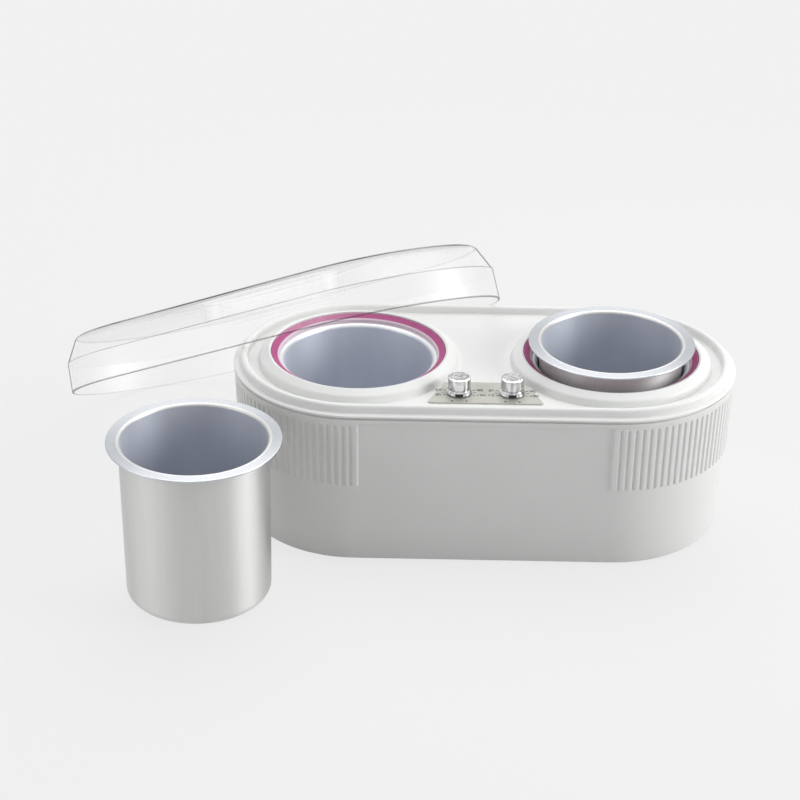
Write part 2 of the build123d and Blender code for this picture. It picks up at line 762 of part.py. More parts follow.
lid_along, _, lid_up = lid_axes(lid_climb)
lid_height = max(on_table, on_heater) + lid_clearance
lid_plane = Plane((lid_x, lid_y, lid_height), x_dir=lid_along, z_dir=lid_up)
crown_top = lid_crown + lid_dome
shoulder_radius = lid_radius - lid_shoulder
dome_outside = lid_dome_blend / tan(atan2(lid_dome, shoulder_radius / 2) / 2)
dome_inside = lid_dome_blend / tan(atan2(lid_dome, shoulder_radius / 2 - lid_wall) / 2)
with BuildPart() as lid:
    carry_round([
        (lid_radius - lid_wall, 0),
        (lid_radius, 0),
        (lid_radius - lid_skirt_draft, lid_skirt, lid_skirt_round),
        (shoulder_radius, lid_crown, lid_shoulder_round),
        (shoulder_radius / 2, crown_top, dome_outside),
        (0, crown_top),
        (0, crown_top - lid_wall),
        (shoulder_radius / 2, crown_top - lid_wall, dome_inside),
        (shoulder_radius - lid_wall, lid_crown - lid_wall, lid_shoulder_round - lid_wall),
        (lid_radius - lid_skirt_draft - lid_wall, lid_skirt, lid_skirt_round / 2),
    ], lid_plane)
    # Leaf-shaped field, raised a little out of the crown
    with BuildSketch(lid_plane.offset(crown_top - lid_wall / 2)):
        with BuildLine():
            for side in (-1, 1):
                ThreePointArc((-leaf_length / 2, 0), (0, side * leaf_width / 2), (leaf_length / 2, 0))
        make_face()
    extrude(amount=lid_wall / 2 + leaf_rise)
    # Sunk grip in the leaf: a trough that runs round a hollow pinch bar
    grip_straight = grip_length - grip_width
    with BuildSketch(lid_plane.offset(crown_top - grip_depth - lid_wall)):
        SlotCenterToCenter(grip_straight, grip_width + 2 * lid_wall)
    extrude(amount=grip_depth)
    with BuildSketch(lid_plane.offset(crown_top - grip_depth)):
        SlotCenterToCenter(grip_straight, grip_width)
        SlotCenterToCenter(grip_straight, bar_width, mode=Mode.SUBTRACT)
    extrude(amount=grip_depth + lid_wall, mode=Mode.SUBTRACT)
    with BuildSketch(lid_plane.offset(crown_top - grip_depth - lid_wall)):
        SlotCenterToCenter(grip_straight, bar_bore)
    extrude(amount=grip_depth, mode=Mode.SUBTRACT)
save(lid, "lid")
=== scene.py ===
import math

import bmesh
import bpy
import numpy as np
from mathutils import Matrix


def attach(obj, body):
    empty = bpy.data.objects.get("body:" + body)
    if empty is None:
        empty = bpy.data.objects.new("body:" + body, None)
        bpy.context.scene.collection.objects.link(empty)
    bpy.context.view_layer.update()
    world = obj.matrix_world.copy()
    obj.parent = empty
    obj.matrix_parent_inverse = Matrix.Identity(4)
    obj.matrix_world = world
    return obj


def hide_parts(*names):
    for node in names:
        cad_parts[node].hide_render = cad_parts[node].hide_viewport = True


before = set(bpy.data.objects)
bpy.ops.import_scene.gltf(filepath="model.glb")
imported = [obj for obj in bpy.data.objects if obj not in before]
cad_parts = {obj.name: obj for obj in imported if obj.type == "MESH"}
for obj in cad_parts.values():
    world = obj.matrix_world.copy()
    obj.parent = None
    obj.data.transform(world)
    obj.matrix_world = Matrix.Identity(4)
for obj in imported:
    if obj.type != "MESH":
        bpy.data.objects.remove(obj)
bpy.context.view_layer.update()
scene = bpy.context.scene
print("frame loaded")

# Sizes are in millimetres up to the moment a mesh is made
mm = 0.001
spine = 76.5  # half the distance between the two wells


def pick(settings, names):
    # The settings that the words in names stand for
    return [settings[name] for name in names.split()]


# Shader maths

def maths(operation, swapped=False):
    # A method that adds one Math node. A reflected operator has its two values swapped
    def method(self, *others):
        values = (*others, self) if swapped else (self, *others)
        return self.look.add("Math", dict(enumerate(values)), operation=operation)
    return method


class Wire:
    # An output of a node, the first one unless a name or number picks another. Maths on it adds Math nodes
    def __init__(self, look, node, key=0):
        self.look, self.node, self.key = look, node, key

    def __getitem__(self, key):
        return Wire(self.look, self.node, key)

    __add__, __radd__ = maths("ADD"), maths("ADD", swapped=True)
    __sub__, __rsub__ = maths("SUBTRACT"), maths("SUBTRACT", swapped=True)
    __mul__, __rmul__ = maths("MULTIPLY"), maths("MULTIPLY", swapped=True)
    __truediv__, __rtruediv__ = maths("DIVIDE"), maths("DIVIDE", swapped=True)
    __pow__, __gt__, __abs__ = maths("POWER"), maths("GREATER_THAN"), maths("ABSOLUTE")
    most, least = maths("MAXIMUM"), maths("MINIMUM")


class Look:
    # A node tree of one finish: add() takes a node's kind, the values or wires of its sockets and its settings
    def __init__(self, name, owner=None):
        self.owner = owner or bpy.data.materials.new(name)
        self.owner.use_nodes = True
        self.tree = self.owner.node_tree
        self.tree.nodes.clear()

    def add(self, kind, sockets=None, **settings):
        node = self.tree.nodes.new("ShaderNode" + kind)
        for name, value in settings.items():
            setattr(node, name, value)
        for key, value in (sockets or {}).items():
            if isinstance(value, Wire):
                self.tree.links.new(value.node.outputs[value.key], node.inputs[key])
            else:
                node.inputs[key].default_value = value
        return Wire(self, node)

    def place(self, shift=(0, 0, 0), stretch=(1, 1, 1)):
        # Object coordinates, shifted to a piece's middle and stretched along its grain
        inMetres = [-value * mm * factor for value, factor in zip(shift, stretch)]
        coordinates = self.add("TexCoord")["Object"]
        return self.add("Mapping", {"Vector": coordinates, "Location": inMetres, "Scale": stretch})

    def noise(self, size, detail=3, rough=0.5, where=None):
        # Cloudy value from 0 to 1 whose patches are about size millimetres across
        sockets = {"Vector": where or self.place(), "Scale": 1 / (size * mm), "Detail": detail, "Roughness": rough}
        return self.add("TexNoise", sockets)["Fac"]

    def spread(self, value, low, high):
        # Takes a value from low to high onto 0 to 1, with soft ends
        sockets = {"Value": value, "From Min": low, "From Max": high}
        return self.add("MapRange", sockets, interpolation_type="SMOOTHSTEP")["Result"]

    def blend(self, share, first, second):
        # Colour that goes from first to second
        colours = [value if isinstance(value, Wire) else (*value, 1) for value in (first, second)]
        return self.add("Mix", {0: share, 6: colours[0], 7: colours[1]}, data_type="RGBA")[2]

    def bump(self, height, depth, strength):
        # Normal of a face that rises by depth millimetres where the height goes from 0 to 1
        return self.add("Bump", {"Height": height, "Distance": depth * mm, "Strength": strength})

    def split(self, vector=None):
        # The X, Y and Z of a place
        return self.add("SeparateXYZ", {0: vector or self.place()})

    def seenDirectly(self):
        # 1 for what the camera sees, also in a mirror or through a clear face, and 0 for light thrown on
        rays = self.add("LightPath")
        return rays["Is Camera Ray"].most(rays["Is Glossy Ray"]).most(rays["Is Transmission Ray"])

    def finish(self, colour, roughness, **others):
        # Principled surface; names such as coatWeight stand for its sockets
        sockets = {"Base Color": colour if isinstance(colour, Wire) else (*colour, 1), "Roughness": roughness}
        for name, value in others.items():
            words = "".join(" " + letter if letter.isupper() else letter for letter in name)
            sockets[{"specular": "Specular IOR Level"}.get(name, words.title())] = value
        self.add("OutputMaterial", {"Surface": self.add("BsdfPrincipled", sockets)})
        return self.owner


# Shapes

def unit(vector):
    return vector / np.linalg.norm(vector)


def roundedLine(corners, closed=True, step=10):
    # Corners (a, b, radius) become a dense line. Each gives way to the arc that touches both its neighbours:
    # its two radius vectors turned evenly into each other, at most step degrees and widest millimetres apart
    widest = 3
    points = np.array([corner[:2] for corner in corners], float)
    parts = []
    for number, corner in enumerate(corners):
        here = points[number]
        radius = corner[2] if len(corner) > 2 else 0
        if not radius or (not closed and number in (0, len(corners) - 1)):
            parts.append(here[None])
            continue
        back = unit(points[number - 1] - here)
        ahead = unit(points[(number + 1) % len(points)] - here)
        inside = math.acos(np.clip(back @ ahead, -1, 1))
        reach = radius / math.tan(inside / 2)
        centre = here + unit(back + ahead) * radius / math.sin(inside / 2)
        turn = math.pi - inside
        stride = min(step, math.degrees(widest / radius))
        share = np.linspace(0, 1, max(3, int(math.degrees(turn) / stride) + 2))[:, None]
        first, last = here + back * reach - centre, here + ahead * reach - centre
        parts.append(centre + (np.sin((1 - share) * turn) * first + np.sin(share * turn) * last) / math.sin(turn))
    return np.concatenate(parts)


def gridFaces(rows, columns, closeRows):
    # Quads of a grid whose columns go all the way round
    row = np.arange(rows if closeRows else rows - 1)[:, None]
    column = np.arange(columns)[None]
    nextRow, nextColumn = (row + 1) % rows, (column + 1) % columns
    corners = (row * columns + column, row * columns + nextColumn,
               nextRow * columns + nextColumn, nextRow * columns + column)
    return np.stack(corners, -1).reshape(-1, 4)


def surface(points, closeRows=False):
    # A grid of points, rows by columns by three, with its quads
    return points.reshape(-1, 3), gridFaces(*points.shape[:2], closeRows)


def turned(line, centre=(0, 0), columns=144, closed=True, angles=None):
    # Each point (r, z) of the line goes round a circle: x = r cos a, y = r sin a
    if angles is None:
        angles = np.linspace(0, 2 * np.pi, columns, endpoint=False)
    radius, height = line[:, :1], line[:, 1:]
    points = np.stack([centre[0] + radius * np.cos(angles), centre[1] + radius * np.sin(angles),
                       height + 0 * angles], -1)
    return surface(points, closeRows=closed)


def oblongWay(endAngles, sideStops):
    # Columns round an oblong: the x of each column's foot on the spine, and the direction it looks in.
    # A round end keeps its foot and turns from -90 to 90 degrees, a side keeps its direction and slides
    turn = np.radians(endAngles)
    feet = np.concatenate([np.full(len(turn), spine), sideStops, np.full(len(turn), -spine), -sideStops])
    looks = np.concatenate([turn, np.full(len(sideStops), np.pi / 2), turn + np.pi,
                            np.full(len(sideStops), -np.pi / 2)])
    return feet, looks


def carried(line, way, away=0.0, closed=True):
    # Each point (r, z) of the line goes round the oblong: its foot plus r in the column's direction. away adds
    # to r point by point
    feet, looks = way
    radius, height = line[:, :1] + away, line[:, 1:]
    points = np.stack([feet + radius * np.cos(looks), radius * np.sin(looks), height + 0 * radius * looks], -1)
    return surface(points, closeRows=closed)


seam = {"points": 2e-6, "edges": 1e-7}  # metres: points nearer than the first are one, shorter edges go


def makePiece(name, surfaces, material, nodes, body="heater", sharp=32, darkPart=None, weighted=True):
    # Joins surfaces, merges their seams, turns the faces outwards, and puts the mesh in the scene in metres.
    # Where there are two finishes, darkPart tells from the faces' middles which ones take the second
    starts = np.cumsum([0] + [len(points) for points, faces in surfaces])
    points = np.concatenate([points for points, faces in surfaces]) * mm
    faces = np.concatenate([part[1] + start for part, start in zip(surfaces, starts)])
    mesh = bpy.data.meshes.new(name)
    mesh.from_pydata(points.tolist(), [], faces.tolist())
    net = bmesh.new()
    net.from_mesh(mesh)
    bmesh.ops.remove_doubles(net, verts=net.verts, dist=seam["points"])
    bmesh.ops.dissolve_degenerate(net, edges=net.edges, dist=seam["edges"])
    bmesh.ops.recalc_face_normals(net, faces=net.faces)
    net.to_mesh(mesh)
    net.free()
    mesh.shade_smooth()
    mesh.set_sharp_from_angle(angle=math.radians(sharp))
    for finish in material if isinstance(material, list) else [material]:
        mesh.materials.append(finish)
    if darkPart:
        middles = np.zeros(len(mesh.polygons) * 3, np.float32)
        mesh.polygons.foreach_get("center", middles)
        mesh.polygons.foreach_set("material_index", darkPart(middles.reshape(-1, 3) / mm).astype(np.int32))
    piece = bpy.data.objects.new(name, mesh)
    scene.collection.objects.link(piece)
    if weighted:
        piece.modifiers.new("evenNormals", "WEIGHTED_NORMAL").keep_sharp = True
    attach(piece, body)
    if nodes:
        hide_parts(*nodes)


# Finishes

def dimmed(colour, share):
    return tuple(part * share for part in colour)


plastic = {"cloud": 38, "wear": 9, "wearRough": 0.05, "dustTop": 22.0, "speckle": 2.2, "dustShade": 0.78}


def mouldedPlastic(name, colour, shade, rough, grain, coat=0.0, dust=0.0):
    # Cloudy tone between two near colours, a fine moulded grain (size, depth), and a little dust near the table
    look = Look(name)
    tone = look.blend(look.spread(look.noise(plastic["cloud"], 4, 0.55), 0.3, 0.7), colour, shade)
    if dust:
        low = 1 - look.spread(look.split()["Z"], 0.0, plastic["dustTop"] * mm)
        speckle = look.spread(look.noise(plastic["speckle"], 5, 0.7), 0.45, 0.75)
        tone = look.blend(low * speckle * dust, tone, dimmed(shade, plastic["dustShade"]))
    wear = look.spread(look.noise(plastic["wear"], 5, 0.6), 0.35, 0.75)
    return look.finish(tone, rough + (wear - 0.5) * plastic["wearRough"], coatWeight=coat, coatRoughness=0.12,
                       specular=0.45, normal=look.bump(look.noise(grain[0], 2, 0.6), grain[1], 0.5))


aluminium = {
    "ring": 0.5, "ringDepth": 0.008, "streak": 9, "streakLong": 0.08, "streakShade": 0.96,
    "ringRough": 0.05, "streakRough": 0.02, "insideRough": 0.05, "anisotropic": 0.7, "grainTurn": 0.25,
    "soft": 0.3, "mouth": (2.2, 0.8), "brimDeep": 1.5, "brim": (1.0, 1.8),
}


def drawnAluminium(name, tones, rough, centre, cup):
    # Satin anodised metal: rings left by drawing, faint upright streaks, a bluer and more matt inside up to the
    # mouth whose tone is painted shade in the cup, and a brim of its own tone, which on the pots is painted shade
    # that dims the overhead lamp's reflection. Inside is less than the bend's radius past the bend's centre
    look = Look(name)
    parts = look.split(look.place(shift=(*centre, 0)))
    height = parts["Z"]
    radius = (parts["X"] ** 2 + parts["Y"] ** 2) ** 0.5
    rings = look.noise(aluminium["ring"], 2, 0.5, look.add("CombineXYZ", {0: radius, 2: height}))
    upright = look.place((*centre, 0), (1, 1, aluminium["streakLong"]))
    streaks = look.spread(look.noise(aluminium["streak"], 4, 0.6, upright), 0.3, 0.7)
    lowRadius, topRadius, floor, top, bend = (part * mm for part in pick(cup, "low high floor top bend"))
    middle = (height - floor) * ((topRadius - lowRadius) / (top - floor)) + lowRadius
    past = ((radius - middle + bend).most(0) ** 2 + (floor + bend - height).most(0) ** 2) ** 0.5
    soft = aluminium["soft"] * mm
    belowMouth = 1 - look.spread(height, *(top - drop * mm for drop in aluminium["mouth"]))
    inside = (1 - look.spread(past, bend - soft, bend + soft)) * belowMouth
    onBrim = look.spread(radius, *(topRadius + reach * mm for reach in aluminium["brim"]))
    brim = (height > top - aluminium["brimDeep"] * mm) * onBrim
    # Painted shade: inner is the cup's inside tone; brimTone, darker on the pots, dims the overhead lamp's
    # reflection
    outer, inner, brimTone = (look.blend(streaks, tone, dimmed(tone, aluminium["streakShade"])) for tone in tones)
    roughness = (rough + rings * aluminium["ringRough"] + streaks * aluminium["streakRough"]
                 + inside * aluminium["insideRough"] - brim * cup["gloss"])
    return look.finish(look.blend(brim, look.blend(inside, outer, inner), brimTone), roughness,
                       metallic=1 - inside * cup["matt"], anisotropic=aluminium["anisotropic"],
                       anisotropicRotation=aluminium["grainTurn"],
                       normal=look.bump(rings, aluminium["ringDepth"], 0.3))


plated = {"polish": 3.5, "shade": 0.93, "polishRough": 0.06, "line": 0.3, "lineLong": 0.12, "lineRough": 0.03,
          "scratch": 0.02}


def platedMetal(name, colour, rough):
    # Bright metal with faint hairlines and cloudy polish
    look = Look(name)
    polish = look.spread(look.noise(plated["polish"], 4, 0.6), 0.3, 0.8)
    lines = look.noise(plated["line"], 2, 0.5, look.place(stretch=(1, plated["lineLong"], 1)))
    return look.finish(look.blend(polish, colour, dimmed(colour, plated["shade"])),
                       rough + polish * plated["polishRough"] + lines * plated["lineRough"], metallic=1.0,
                       normal=look.bump(lines, plated["scratch"], 0.3))


# bright, grey and dark: tones whose streaks and clouds paint reflection on the chrome
chrome = {
    "streak": 1.6, "streakLong": 0.05, "streakRough": 0.10, "streakDepth": 0.01, "cloud": 2.6, "rough": 0.06,
    "bright": (0.80, 0.80, 0.81), "grey": (0.64, 0.64, 0.65), "dark": (0.46, 0.46, 0.47),
}


def chromeWithPaintedReflection(name):
    # Chrome with painted reflection: upright streaks and faint clouds darken its colour in bands
    look = Look(name)
    upright = look.place(stretch=(1, 1, chrome["streakLong"]))
    streaks = look.spread(look.noise(chrome["streak"], 3, 0.6, upright), 0.46, 0.6)
    clouds = look.spread(look.noise(chrome["cloud"], 3, 0.6), 0.4, 0.7)
    tone = look.blend(streaks, look.blend(clouds, chrome["bright"], chrome["grey"]), chrome["dark"])
    return look.finish(tone, chrome["rough"] + streaks * chrome["streakRough"], metallic=1.0,
                       normal=look.bump(streaks, chrome["streakDepth"], 0.3))


def matt(name, colour, shade, rough, size, depth):
    # Matt stuff such as rubber, felt or sleeve: two tones in patches and a bumpy face
    look = Look(name)
    patch = look.noise(size, 4, 0.65)
    return look.finish(look.blend(look.spread(patch, 0.3, 0.7), colour, shade), rough + patch * 0.06,
                       normal=look.bump(look.noise(size * 0.4, 3, 0.7), depth, 0.8))


finishes = {
    "housing": mouldedPlastic("housingPlastic", (0.79, 0.787, 0.775), (0.775, 0.772, 0.76), rough=0.38,
                              grain=(0.5, 0.003), coat=0.1, dust=0.15),
    "cover": mouldedPlastic("coverPlastic", (0.845, 0.85, 0.835), (0.835, 0.84, 0.825), rough=0.46,
                            grain=(0.6, 0.0015), coat=0.06),
    "base": mouldedPlastic("basePlastic", (0.70, 0.70, 0.68), (0.66, 0.66, 0.64), rough=0.5, grain=(0.6, 0.03),
                           dust=0.4),
    "chrome": chromeWithPaintedReflection("knobChrome"),
    "steel": platedMetal("platedSteel", (0.58, 0.58, 0.60), rough=0.26),
    "band": platedMetal("heaterSteel", (0.50, 0.48, 0.45), rough=0.34),
    "brass": platedMetal("nutBrass", (0.76, 0.62, 0.34), rough=0.24),
}
mattStuff = {  # name, two tones, roughness, size of the patches, depth of the bumps
    "rubber": ("footRubber", (0.028, 0.028, 0.030), (0.05, 0.05, 0.05), 0.72, 1.4, 0.04),
    "felt": ("insulationFelt", (0.74, 0.72, 0.66), (0.60, 0.58, 0.52), 0.88, 1.8, 0.3),
    "dark": ("darkMoulding", (0.055, 0.048, 0.045), (0.08, 0.07, 0.065), 0.5, 2.0, 0.03),
    "nylon": ("paleNylon", (0.74, 0.74, 0.71), (0.68, 0.68, 0.65), 0.45, 2.2, 0.03),
    "sleeve": ("wireSleeve", (0.62, 0.09, 0.05), (0.50, 0.07, 0.04), 0.55, 0.8, 0.06),
    "ink": ("dialInk", (0.035, 0.035, 0.038), (0.06, 0.06, 0.06), 0.6, 0.4, 0.002),
}
finishes.update((key, matt(*stuff)) for key, stuff in mattStuff.items())
print("finishes made")

# Inner nodes keep their CAD shape and get a finish
carriedOver = {
    "steel": ("base_screws", "cover_screws", "clamp_screws", "left_cutout", "right_cutout", "left_spindle",
              "right_spindle"),
    "band": ("left_band_heater", "right_band_heater"), "felt": ("left_insulation", "right_insulation"),
    "dark": ("left_thermostat", "right_thermostat"), "brass": ("thermostat_nuts", "terminal_screws"),
    "nylon": ("terminal_block",), "sleeve": ("wiring",), "base": ("base_plate",),
}
for finish, nodes in carriedOver.items():
    for node in nodes:
        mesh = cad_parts[node].data
        mesh.materials.clear()
        mesh.materials.append(finishes[finish])

# Housing
housing = {
    "foot": 0.8, "base": 3.3, "opening": 61.99, "wallBase": 69.29, "wallWaist": 72.49, "wallTop": 74.0,
    "waist": 49.0, "bandBottom": 94.6, "band": 75.1, "top": 97.4, "tongue": 98.8, "tongueInset": 1.4, "wall": 2.4,
    "panelBottom": 52.6, "panelProud": 1.1, "panelLap": 2.5, "lapSlope": 0.8, "ribs": 53, "ribRadius": 73.6,
    "grooveDepth": 1.0, "grooveStop": 0.9, "grooveFade": 1.2, "grooveFlat": 0.35, "grooveSlope": 0.95,
    "grooveColumns": (0.4, 0.75, 1.05, 1.35), "bulge": 150,
    "padX": 40.0, "padZ": 20.0, "padRadius": 9.5, "padBore": 6.6, "padFace": 71.96, "padDepth": 3.8,
    "holeHalf": 6.6,
}


def laidBack(points, start):
    # Lays a turned shape on its back about the cord's way in, from start towards the back
    return np.stack([housing["padX"] + points[:, 0], start + points[:, 2], housing["padZ"] + points[:, 1]], -1)


def housingSurfaces(size):
    # The wall's line is carried round the oblong. On the round ends it stands proud by the panel, less the
    # grooves, which are flat at the bottom and have smooth sides
    foot, base, waist, low, high = pick(size, "foot base waist panelBottom bandBottom")
    radii = wallBase, wallWaist, wallTop = pick(size, "wallBase wallWaist wallTop")
    opening, wall, bulge, band, top, tip = pick(size, "opening wall bulge band top tongue")
    padX, padZ, bore, padRadius, half, depth = pick(size, "padX padZ padBore padRadius holeHalf padDepth")
    wallAt = lambda z: float(np.interp(z, (foot, waist, high), radii))
    insideAt = lambda z: float(np.interp(z, (base, waist), (wallBase, wallWaist))) - wall
    tongue, grooveEnd = band - size["tongueInset"], high - size["grooveStop"]
    fade = (grooveEnd - size["grooveFade"], grooveEnd)
    holeLow, holeHigh = padZ - half, padZ + half
    under = roundedLine([
        (opening, base), (opening, foot, 0.5), (wallBase, foot, 1.0), (wallAt(holeLow), holeLow),
        (wallAt(holeHigh), holeHigh), (wallWaist, waist, bulge), (wallAt(low - 0.3), low - 0.3)], closed=False)
    heights = np.array([low, low + 0.02, low + 0.12, low + 0.4, low + 2, low + 12, low + 24, high - 8,
                        fade[0], grooveEnd - size["grooveFade"] / 2, fade[1], high - 0.25, high])
    panel = np.stack([np.interp(heights, (foot, waist, high), radii), heights], -1)
    over = roundedLine([
        (wallTop, high), (band, high, 0.25), (band, top, 0.45), (tongue, top, 0.15), (tongue, tip),
        (wallTop - wall, tip), (wallTop - wall, high), (wallWaist - wall, waist, bulge),
        (insideAt(holeHigh), holeHigh), (insideAt(holeLow), holeLow), (wallBase - wall, base, 0.5)], closed=False)
    line = np.concatenate([under, panel, over])

    def onlyOnPanel(places, shares):
        # The share at each row of the panel, and nothing under and over it
        return np.concatenate([0 * under[:, 0], np.interp(heights, places, shares), 0 * over[:, 0]])

    proud = onlyOnPanel((low + 0.01, low + 0.02, low + 0.12, low + 0.4), (0, 0.72, 0.9, 1))
    cut = onlyOnPanel(fade, (1, 0))
    pitch = 180 / size["ribs"]
    across = math.radians(pitch) * size["ribRadius"]
    columns = np.array(size["grooveColumns"])
    offsets = np.concatenate([-columns[::-1], [0], columns, [across / 2]]) / across * pitch
    middles = -90 + pitch * (np.arange(size["ribs"]) + 0.5)
    angles = np.sort(np.concatenate([(middles[:, None] + offsets).ravel(), [-90]]))
    angles = angles[angles < 90 - 1e-6]
    lap = spine - size["panelLap"]
    slope = lap + size["lapSlope"] * np.array([0, 0.5, 1])
    holeSides = padX + half * np.array([1, -1])
    stops = np.concatenate([[spine], slope[::-1], np.linspace(lap - 8, 54, 3), holeSides,
                            np.linspace(26, -26, 7), -holeSides[::-1], np.linspace(-54, 8 - lap, 3), -slope])
    feet, looks = oblongWay(angles, stops)
    fromMiddle = np.abs((np.degrees(looks) + 90) % pitch - pitch / 2) / pitch * across
    onEnd = np.abs(np.abs(feet) - spine) < 1e-6
    groove = np.where(onEnd, 1 - np.clip((fromMiddle - size["grooveFlat"]) / size["grooveSlope"], 0, 1), 0)
    groove = groove * groove * (3 - 2 * groove)
    onPanel = np.interp(np.abs(feet), slope, (0, 0.6, 1))
    away = proud[:, None] * onPanel * (size["panelProud"] - size["grooveDepth"] * groove * cut[:, None])
    points, faces = carried(line, (feet, looks), away)
    # The cord's way in: one quad of the outside and one of the inside give way to the four sides between them
    columns = len(feet)
    column = int(np.flatnonzero(np.isclose(feet, holeSides[0]) & (looks > 1) & (looks < 2))[0])
    rows = np.flatnonzero(np.isclose(line[:, 1], holeLow))
    first, last = (int(row) * columns + column for row in rows)
    outer = np.array([first, first + 1, first + columns + 1, first + columns])
    inner = np.array([last, last + 1, last - columns + 1, last - columns])
    gone = [np.sort(outer), np.sort(inner)]
    kept = np.array([not any(np.array_equal(np.sort(face), quad) for quad in gone) for face in faces])
    sides = np.stack([outer, np.roll(outer, -1), np.roll(inner, -1), inner], -1)
    shell = (points, np.concatenate([faces[kept], sides]))
    pad = roundedLine([(bore, 0), (padRadius, 0), (padRadius, depth, 0.5), (bore, depth)])
    points, faces = turned(pad, columns=64)
    return [shell, (laidBack(points, size["padFace"] - depth), faces)]


makePiece("housingShell", housingSurfaces(housing), finishes["housing"], ["housing"])
print("housing made")

# Top cover
cover = {
    "lip": 75.6, "lipUnder": 98.8, "lipTop": 100.2, "rim": 71.6, "rimTop": 105.0, "rimInner": 67.2,
    "deck": 66.2, "deckTop": 100.4, "deckUnder": 98.0, "spigot": 71.3, "spigotWall": 2.4, "spigotBottom": 91.8,
    "collar": 61.0, "collarTop": 107.4, "shoulder": 104.6, "ringSeat": 53.1, "hole": 47.2,
    "endColumns": 61, "sideColumns": 25, "deckRows": 5,
}


def coverSurfaces(size):
    # Rim and lip: a line carried round the oblong. Collars: a line turned about each well. Deck between
    # them: rays from each well's middle, cut where they meet the oblong or the heater's middle
    deck, deckTop, deckUnder, hole = pick(size, "deck deckTop deckUnder hole")
    collarFoot, collarTop, seat = pick(size, "collar collarTop ringSeat")
    lip, lipTop, rimOuter, rimInner, rimTop = pick(size, "lip lipTop rim rimInner rimTop")
    corner = math.degrees(math.atan2(deck, spine))
    outward = np.linspace(0, 90, size["endColumns"])[:-1]
    sideways = 90 + np.linspace(0, 90 - corner, size["sideColumns"])
    inward = np.linspace(180 - corner, 180, size["sideColumns"])[1:]
    halfTurn = np.concatenate([outward, sideways, inward])
    angles = np.radians(np.concatenate([halfTurn, -halfTurn[-2:0:-1]]))
    sideStops = np.array([spine + deck / math.tan(math.radians(angle)) for angle in sideways])
    sideStops = np.concatenate([sideStops, -sideStops[-2:0:-1]])
    way = oblongWay(np.concatenate([-outward[:0:-1], outward]), sideStops)
    lipUnder, spigot, spigotLow = pick(size, "lipUnder spigot spigotBottom")
    spigotInner = spigot - size["spigotWall"]
    rim = roundedLine([
        (spigotInner, deckUnder), (spigotInner, spigotLow), (spigot, spigotLow), (spigot, lipUnder),
        (lip, lipUnder, 0.3), (lip, lipTop, 0.8), (rimOuter, lipTop, 0.7), (rimOuter, rimTop, 2.0),
        (rimInner, rimTop, 1.8), (deck + 0.9, deckTop, 0.8), (deck, deckTop)], closed=False, step=8)
    surfaces = [carried(rim, way, closed=False)]
    collar = roundedLine([
        (collarFoot, deckTop), (collarFoot - 0.1, deckTop + 0.2), (collarFoot - 1.3, size["shoulder"], 2.5),
        (seat + 1.3, collarTop, 0.9), (seat, collarTop - 0.4), (seat, deckTop), (hole, deckTop),
        (hole, deckUnder)], closed=False, step=6)
    # A ray that looks outwards ends on the round end, any other on the straight side or the heater's middle
    wayX, wayY, tiny = np.cos(angles), np.sin(angles), 1e-9
    outwards = wayX > -tiny
    reach = np.minimum(spine / np.maximum(-wayX, tiny), deck / np.maximum(np.abs(wayY), tiny))
    reach = np.where(outwards, deck, reach)
    onOblong = np.isclose(np.where(outwards, reach, np.abs(reach * wayY)), deck)
    lookX, lookY = np.where(outwards, wayX, 0), np.where(outwards, wayY, np.sign(wayY))
    share = np.linspace(0, 1, size["deckRows"])[:, None]
    for side in (1, -1):
        for inner, height, outer in ((collarFoot, deckTop, 0), (hole, deckUnder, spigotInner - deck)):
            edgeX = reach * wayX + outer * lookX * onOblong
            edgeY = np.where(onOblong, reach * wayY + outer * lookY, reach * wayY * (1 + outer / deck))
            x = inner * wayX * (1 - share) + edgeX * share
            y = inner * wayY * (1 - share) + edgeY * share
            surfaces.append(surface(np.stack([side * (spine + x), y, height + 0 * x], -1)))
        points, faces = turned(collar, angles=angles, closed=False)
        surfaces.append((points * (side, 1, 1) + (side * spine, 0, 0), faces))
    return surfaces


makePiece("topCoverMoulding", coverSurfaces(cover), finishes["cover"], ["top_cover"])
print("top cover made")

# Well rings and heating wells
# tones: outside, inside and brim; the bluer, darker inside tone is painted shade in the cup
well = {
    "ringOuter": 53.0, "ringTop": 106.6, "ringMouth": 47.8, "ringDrop": 2.8, "ringFoot": 51.1, "flangeTop": 101.8,
    "deckTop": 100.4, "flange": 50.6, "radius": 44.7, "outer": 45.9, "floor": 15.0, "under": 13.8, "skin": 0.6,
    "tones": ((0.74, 0.75, 0.77), (0.68, 0.71, 0.78), (0.80, 0.81, 0.82)), "rough": 0.42,
}
# mouth: colour of the painted highlight on the ring's mouth
pink = {
    "deep": (0.40, 0.055, 0.20), "slope": (0.46, 0.075, 0.245), "crest": (0.56, 0.16, 0.34),
    "mouth": (0.74, 0.60, 0.68), "crestFrom": 106.1, "crestTo": 106.6, "mouthFrom": 0.8, "mouthTo": 1.5,
    "cloud": 12, "rough": 0.42, "cloudRough": 0.06, "grain": 1.2, "grainDepth": 0.01,
}


